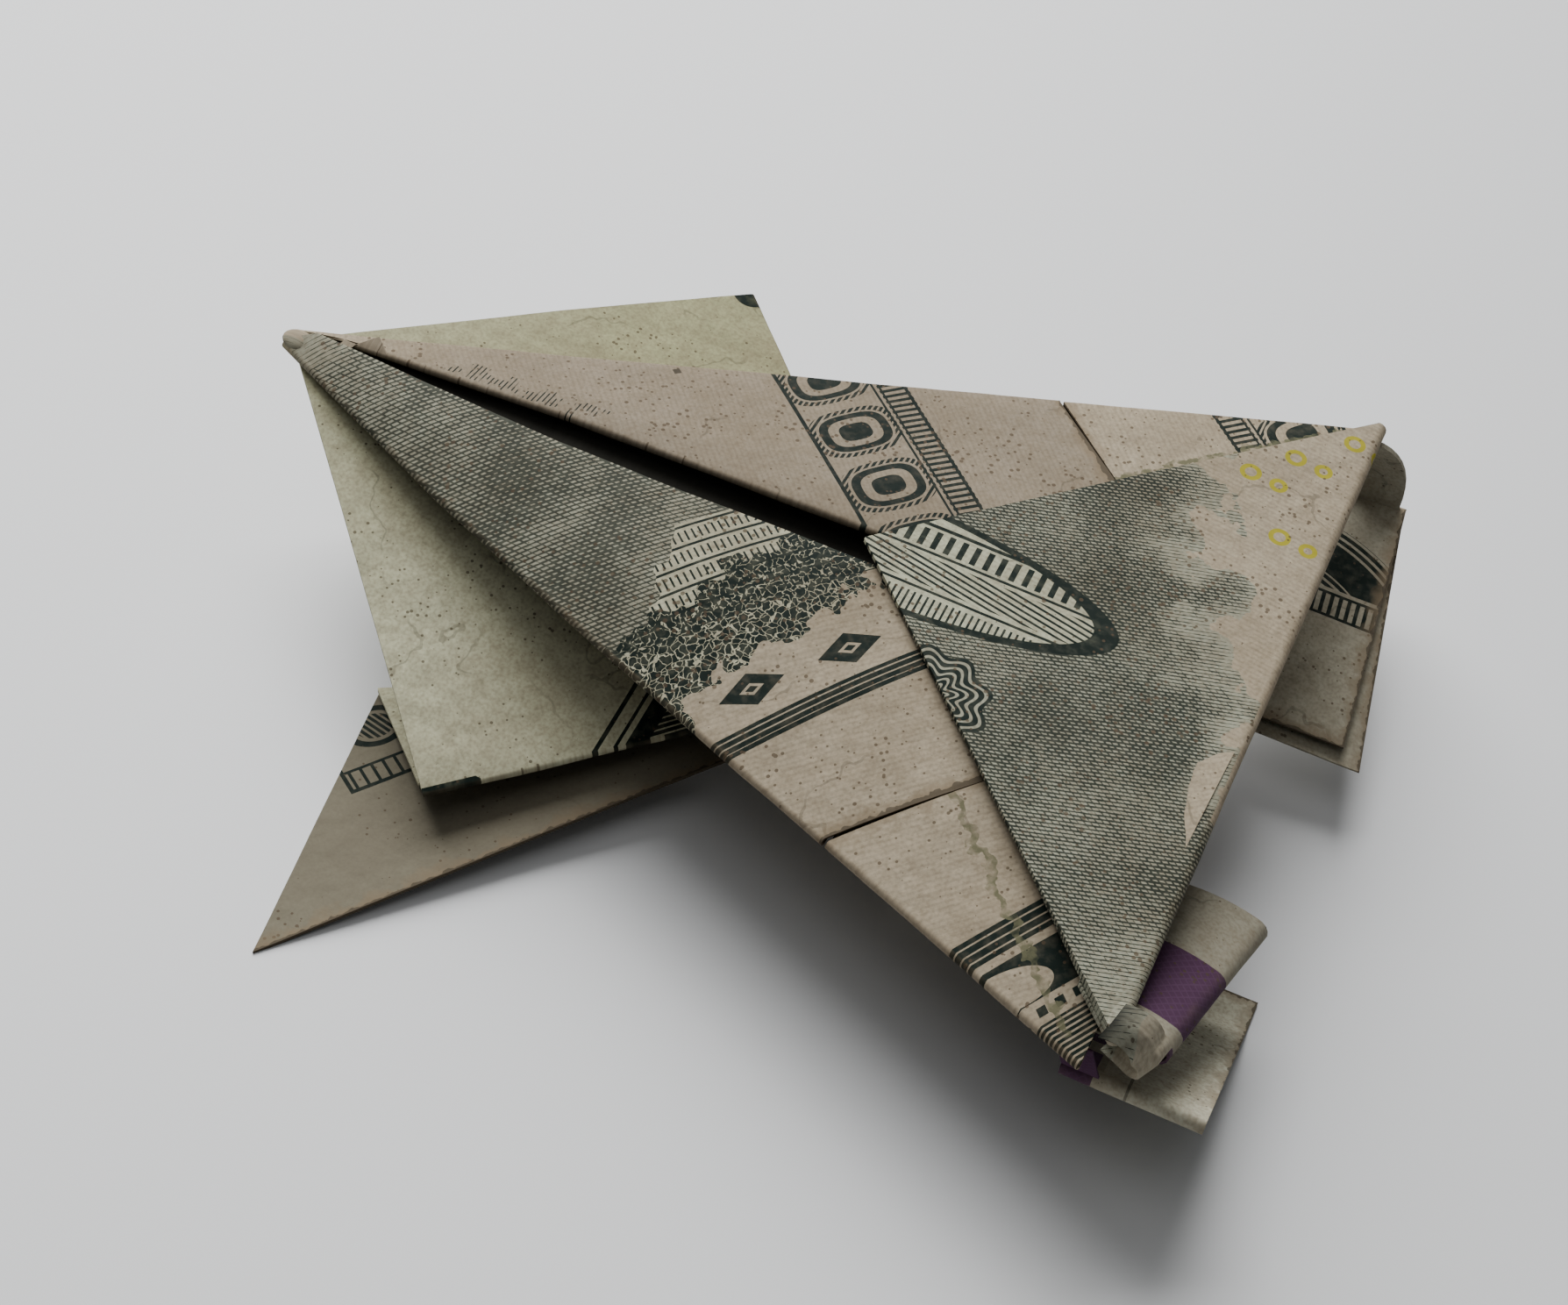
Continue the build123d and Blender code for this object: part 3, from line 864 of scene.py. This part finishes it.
strip_ladder = all_of(strip_zone, inside(v, 58.6, 60.0), either(strip_rungs, strip_rails))
front_end = either(frame_bar, frame_post, end_rails, end_ladder, end_mark, corner_mark)
end_print = either(front_end, strip_arc, strip_ladder)
print("end prints done")

# %% [markdown]
# ## Yellow rings and purple bands
#
# Two more inks are used: small yellow rings in pairs on the tip's light corner, and two plain
# purple bands across the near hind strips. They lie over the green print, so they are masks of
# their own.

# %% Yellow rings and purple bands
rings = []
for ring_u, ring_v in ((113.4, 46.1), (115.0, 48.1), (117.2, 50.5), (115.8, 42.9)):
    for step, radius in ((0, 0.40), (1.4, 0.32)):
        reach = gap(ring_u + step, ring_v - 0.1 * step)
        rings.append(inside(reach, radius - 0.12, radius + 0.12))
yellow = all_of(either(*rings), box(110, 119.5, 40, 54))
purple = either(box(144, 153, 5.15, 9.55), box(148.5, 151.1, 10.5, 20))
print("yellow rings", len(rings))

# %% [markdown]
# ## The paper's colour, with painted light and shade
#
# The bare paper is not one colour. It is cream at the head, pinkish over the back and grey at the
# other end, and the near front leg is darker and browner. Some coats are painted light and shade:
# the near head flap's cream is painted lighter and the far one darker, the far flap of the back is
# painted darker towards its outer side, the near foot is painted lighter, and the near hind tube
# and the far hind strip are painted darker where the body shades them. Each of these is a mask with
# a colour, and they are laid on in turn like thin coats of paint. Clouds of three sizes add stains,
# mottling and grain, and a thin contour line of a slow noise makes a wrinkle.

# %% The paper's colour, with painted light and shade
# Painted light and shade are among these colours: a lighter near cream, a darker far cream and far paper,
# a lighter foot and darker hind paper.
PINK_PAPER, CREAM_PAPER_AND_PAINTED_LIGHT, CREAM_IN_PAINTED_SHADE = linear("9A8F7B"), linear("BAB99C"), linear("82825A")
END_PAPER, FAR_PAPER_IN_PAINTED_SHADE, TINTED_PAPER = linear("A09C8A"), linear("7A7062"), linear("818B7C")
PALE_PAPER, PALE_CREAM_AND_PAINTED_LIGHT, HIND_PAINTED_SHADE = linear("B2B49A"), linear("C8C7B2"), linear("69665A")
WORN, GRIME, GRAIN, LEG_DARKER = linear("6E604C"), linear("38332A"), linear("5C4F3D"), linear("5C564A")

start_cream = add(tree, "MapRange", {0: u, 1: 32.7, 2: 33.6, 3: 1.0, 4: 0.0})
end_cream = add(tree, "MapRange", {0: u, 1: 124, 2: 132, 3: 0.0, 4: 1.0})
# Painted light and shade: the near head flap's cream is painted lighter, and the cream is painted darker
# towards the far head flap.
far_painted_shade = add(tree, "MapRange", {0: v, 1: 20.0, 2: 46.0, 3: 0.0, 4: 0.7})
cream = add(tree, "MixRGB", {0: far_painted_shade, 1: CREAM_PAPER_AND_PAINTED_LIGHT, 2: CREAM_IN_PAINTED_SHADE})
# Painted shade: the far flap of the back is painted darker towards its outer side.
far_back_painted_shade = add(tree, "MapRange", {0: slanted(0.5, 1), 1: 48.0, 2: 62.0, 3: 0.0, 4: 0.75})
tint_zone = either(all_of(front_field, 0.55), all_of(tip_field, 0.6))
pale_zone = either(row_field, pebble_field, label_zone)
# Painted light: the near foot is painted lighter where the body shades it. The knuckle at the tip's
# corner takes the same pale colour as its own paper colour.
foot_start = add(tree, "MapRange", {0: u, 1: 151.4, 2: 152.6})
foot_painted_light = all_of(inside(v, -1, 20), foot_start, 0.55)
knuckle_zone = all_of(inside(gap(119.4, 14.9), 0, 2.0), 0.25)
# Painted shade: the near hind tube and the far hind strip are painted darker where the body shades them.
hind_painted_shade = either(all_of(box(144, 151.4, -1, 12), 0.45), all_of(box(144, 157, 37, 67), 0.3))
stains = cloud(6.0, 4.0, 0.42, 0.78, 8, 0.0, 0.42)
mottling = cloud(0.7, 4.0, 0.35, 0.7, 14, 0.0, 0.3)
grain = cloud(0.16, 3.0, 0.4, 0.75, 17, 0.0, 0.42)
under_lines = all_of(lines(slanted(0.12, 1), 0.26, 0.4), inside(u, 33.2, 125), 0.11)
wrinkle_wave = cloud(9.0, 4.5, 0.0, 1.0, 15)
wrinkle = all_of(inside(wrinkle_wave, 0.496, 0.504), cloud(4.0, 1.0, 0.48, 0.56, 16), 0.32)
# The near front leg is made darker and browner.
leg_zone = add(tree, "Math", {0: slanted(0.487, 1), 1: 16.1}, operation="LESS_THAN")
coats = [
    (start_cream, cream),
    (end_cream, END_PAPER),
    (all_of(far_back_painted_shade, inside(u, 33, 70)), FAR_PAPER_IN_PAINTED_SHADE),
    (tint_zone, TINTED_PAPER),
    (all_of(pale_zone, 0.65), PALE_PAPER),
    (either(foot_painted_light, knuckle_zone), PALE_CREAM_AND_PAINTED_LIGHT),
    (hind_painted_shade, HIND_PAINTED_SHADE),
    (stains, WORN),
    (mottling, WORN),
    (grain, GRAIN),
    (under_lines, GRIME),
    (wrinkle, GRIME),
    (all_of(leg_zone, 0.9), LEG_DARKER),
]
print("coats for the paper", len(coats))

# %% [markdown]
# ## The inks
#
# Dark green is a dry, matt ink that has worn thin in places. Yellow and purple lie over it. The
# purple has a fine woven line in it. Brown specks lie over paper and ink alike, fewer of them on
# the pale ends. Inks could be materials of their own, but they share one sheet, so one material
# with masks is simpler and has no seams.

# %% The inks and the specks
GREEN_INK, YELLOW_INK = linear("0B1712"), linear("8C8418")
PURPLE_INK, PURPLE_LINE, SPECK = linear("40243F"), linear("513552"), linear("463A2C")

all_ink = either(front_hatch, near_print, far_print, tip_print, end_print)
ink_wear = cloud(0.5, 3.0, 0.2, 0.55, 9, 0.86, 1.0)
weave = either(lines(slanted(1, 1), 0.42, 0.22), lines(slanted(1, -1), 0.42, 0.22))
purple_tone = add(tree, "MixRGB", {0: all_of(weave, 0.35), 1: PURPLE_INK, 2: PURPLE_LINE})

speck_cells = add(tree, "TexVoronoi", {"Vector": place, "Scale": 2.6})
speck_size = cloud(3.0, 2.0, 0.32, 0.62, 10, 0.03, 0.26)
pale_ends = either(start_cream, end_cream)
fewer = add(tree, "Math", {0: pale_ends, 1: -0.05, 2: speck_size}, operation="MULTIPLY_ADD")
specks = add(tree, "Math", {0: speck_cells, 1: fewer}, operation="LESS_THAN")
coats += [
    (all_of(all_ink, ink_wear), GREEN_INK),
    (all_of(yellow, 0.92), YELLOW_INK),
    (all_of(purple, 0.95), purple_tone),
    (all_of(specks, 0.75), SPECK),
]
print("coats with the inks", len(coats))

# %% [markdown]
# ## Wear, dirt, painted shade and surface
#
# Raw edges fray and take up dirt, so a soft run from the sheet's edge darkens them. Folds are
# rubbed, which the strips have noted as a number on every point; a negative number there is
# painted shade, deep in the slit, under its lips, on its liner and in the curl's valley. The sheet
# was folded before, so an old crease crosses both flaps. The surface is dry paper: an ordinary IOR
# of 1.5, rough, with a low reflection, a grain of fibres about 0.35 mm long and a soft crumple of
# about 3 mm.

# %% Wear, dirt, painted shade and surface
RUBBED, DEEP_SHADE = linear("56553F"), linear("080B0A")
PAPER_IOR = 1.5
FIBRE_SIZE, CRUMPLE_SIZE = 0.00035, 0.0032

edge_v = add(tree, "Math", {0: v, 1: slanted(0, -1, SHEET_WIDTH)}, operation="MINIMUM")
edge_u = add(tree, "Math", {0: u, 1: slanted(-1, 0, SHEET_LENGTH)}, operation="MINIMUM")
edge_gap = add(tree, "Math", {0: edge_v, 1: edge_u}, operation="MINIMUM")
wear_reach = cloud(0.8, 2.0, 0.3, 0.7, 11, 0.15, 1.1)
edge_wear = add(tree, "MapRange", {0: edge_gap, 1: 0.0, 2: wear_reach, 3: 0.8, 4: 0.0})
line_reach = cloud(0.5, 2.0, 0.3, 0.7, 18, 0.0, 0.2)
edge_line = add(tree, "Math", {0: edge_gap, 1: line_reach}, operation="LESS_THAN")
crease_wave = cloud(1.0, 3.0, 0.3, 0.7, 12, -0.35, 0.35)
crease_run = add(tree, "Math", {0: u, 1: crease_wave}, operation="ADD")
both_flaps = either(inside(v, 0, 12), inside(v, 54, SHEET_WIDTH))
crease_wear = cloud(0.35, 2.0, 0.35, 0.6, 19, 0.2, 0.9)
old_crease = all_of(inside(crease_run, 80.2, 80.55), both_flaps, crease_wear)
fold_wear = either(fold, 0.0)
worn = either(edge_wear, all_of(fold_wear, cloud(0.9, 3.0, 0.3, 0.7, 13, 0.0, 0.7)))
# Painted shade: a negative fold number darkens the slit, its lips, its liner and the curl's valley.
painted_deep_shade = add(tree, "MapRange", {0: fold, 1: -0.9, 2: -0.1, 3: 0.96, 4: 0.0})
foot_line = all_of(box(152.5, 152.62, 4, 20), 0.6)
spot_of_dirt = all_of(box(40.15, 40.5, 49.4, 49.75), 0.9)
lines_of_dirt = either(all_of(edge_line, 0.7), foot_line, spot_of_dirt)
coats += [
    (worn, WORN),
    (old_crease, RUBBED),
    (lines_of_dirt, GRIME),
    (painted_deep_shade, DEEP_SHADE),
]
colour = PINK_PAPER
for mask, coat in coats:
    colour = add(tree, "MixRGB", {0: mask, 1: colour, 2: coat})
tree.links.new(colour.outputs[0], shader.inputs["Base Color"])

shader.inputs["IOR"].default_value = PAPER_IOR
shader.inputs["Specular IOR Level"].default_value = 0.12
rough = add(tree, "MapRange", {0: all_ink, 1: 0.0, 2: 1.0, 3: 0.9, 4: 0.8})
tree.links.new(rough.outputs[0], shader.inputs["Roughness"])

object_place = add(tree, "TexCoord", {}).outputs["Object"]
fibres = add(tree, "TexNoise", {"Vector": object_place, "Scale": 1 / FIBRE_SIZE, "Detail": 4.0})
crumple = add(tree, "TexNoise", {"Vector": object_place, "Scale": 1 / CRUMPLE_SIZE, "Detail": 3.0})
fine_bump = add(tree, "Bump", {"Strength": 0.35, "Distance": 0.00004, "Height": fibres})
soft_inputs = {"Strength": 0.9, "Distance": 0.0003, "Height": crumple, "Normal": fine_bump}
soft_bump = add(tree, "Bump", soft_inputs)
tree.links.new(soft_bump.outputs[0], shader.inputs["Normal"])
folded.data.materials.append(paper)
print("paper nodes", len(tree.nodes))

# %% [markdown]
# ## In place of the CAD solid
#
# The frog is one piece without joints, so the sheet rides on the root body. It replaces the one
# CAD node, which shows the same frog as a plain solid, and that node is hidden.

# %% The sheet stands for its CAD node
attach(folded, "root")
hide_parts("folded_sheet")
print("sheet placed")

# %% [markdown]
# ## Floor, light and camera
#
# The photograph is taken from above the near side, under soft indoor light. A large window light
# behind the far side gives the soft shadow towards the viewer, a weak one above fills it, and the
# world adds a little from all round. The camera's place and turn were solved from the corners of
# the flat back, with a lens of about 66 mm.

# %% Floor, light and camera
floor_mesh = bpy.data.meshes.new("floor")
floor_sheet = bmesh.new()
bmesh.ops.create_grid(floor_sheet, x_segments=1, y_segments=1, size=1.5)
floor_sheet.to_mesh(floor_mesh)
floor_sheet.free()
floor = bpy.data.objects.new("floor", floor_mesh)
bpy.context.scene.collection.objects.link(floor)
table = bpy.data.materials.new("pale_table")
table.use_nodes = True
table_shader = table.node_tree.nodes["Principled BSDF"]
table_shader.inputs["Base Color"].default_value = linear("C4C5C6")
table_shader.inputs["Roughness"].default_value = 0.5
floor_mesh.materials.append(table)

world = bpy.data.worlds.new("studio")
bpy.context.scene.world = world
world.use_nodes = True
sky = world.node_tree.nodes["Background"]
sky.inputs["Color"].default_value = linear("E8EAEC")
sky.inputs["Strength"].default_value = 0.16


def lamp(name, place, size, power):
    """A square soft light that looks at the frog."""
    data = bpy.data.lights.new(name, "AREA")
    data.size = size
    data.energy = power
    light = bpy.data.objects.new(name, data)
    light.location = place
    light.rotation_euler = (-Vector(place)).to_track_quat("-Z", "Y").to_euler()
    bpy.context.scene.collection.objects.link(light)


lamp("window_light", (-0.28, 0.40, 0.41), 0.55, 11.6)
lamp("fill_light", (-0.1, -0.1, 0.8), 0.6, 1.2)

PHOTO_WIDTH, FOCAL_PIXELS = 1788, 3300
camera_data = bpy.data.cameras.new("photo_view")
camera_data.sensor_width = 36
camera_data.lens = 36 * FOCAL_PIXELS / PHOTO_WIDTH
camera_data.clip_start = 0.01
camera = bpy.data.objects.new("photo_view", camera_data)
right = Vector((0.912024, 0.395574, 0.108315))
down = Vector((0.362775, -0.654865, -0.662983))
ahead = Vector((-0.191327, 0.643950, -0.740758))
turn = Matrix((right, -down, -ahead)).transposed().to_4x4()
camera.matrix_world = Matrix.Translation((0.025508, -0.083236, 0.100493)) @ turn
bpy.context.scene.collection.objects.link(camera)
bpy.context.scene.camera = camera
print("camera lens", round(camera_data.lens, 1), "mm")
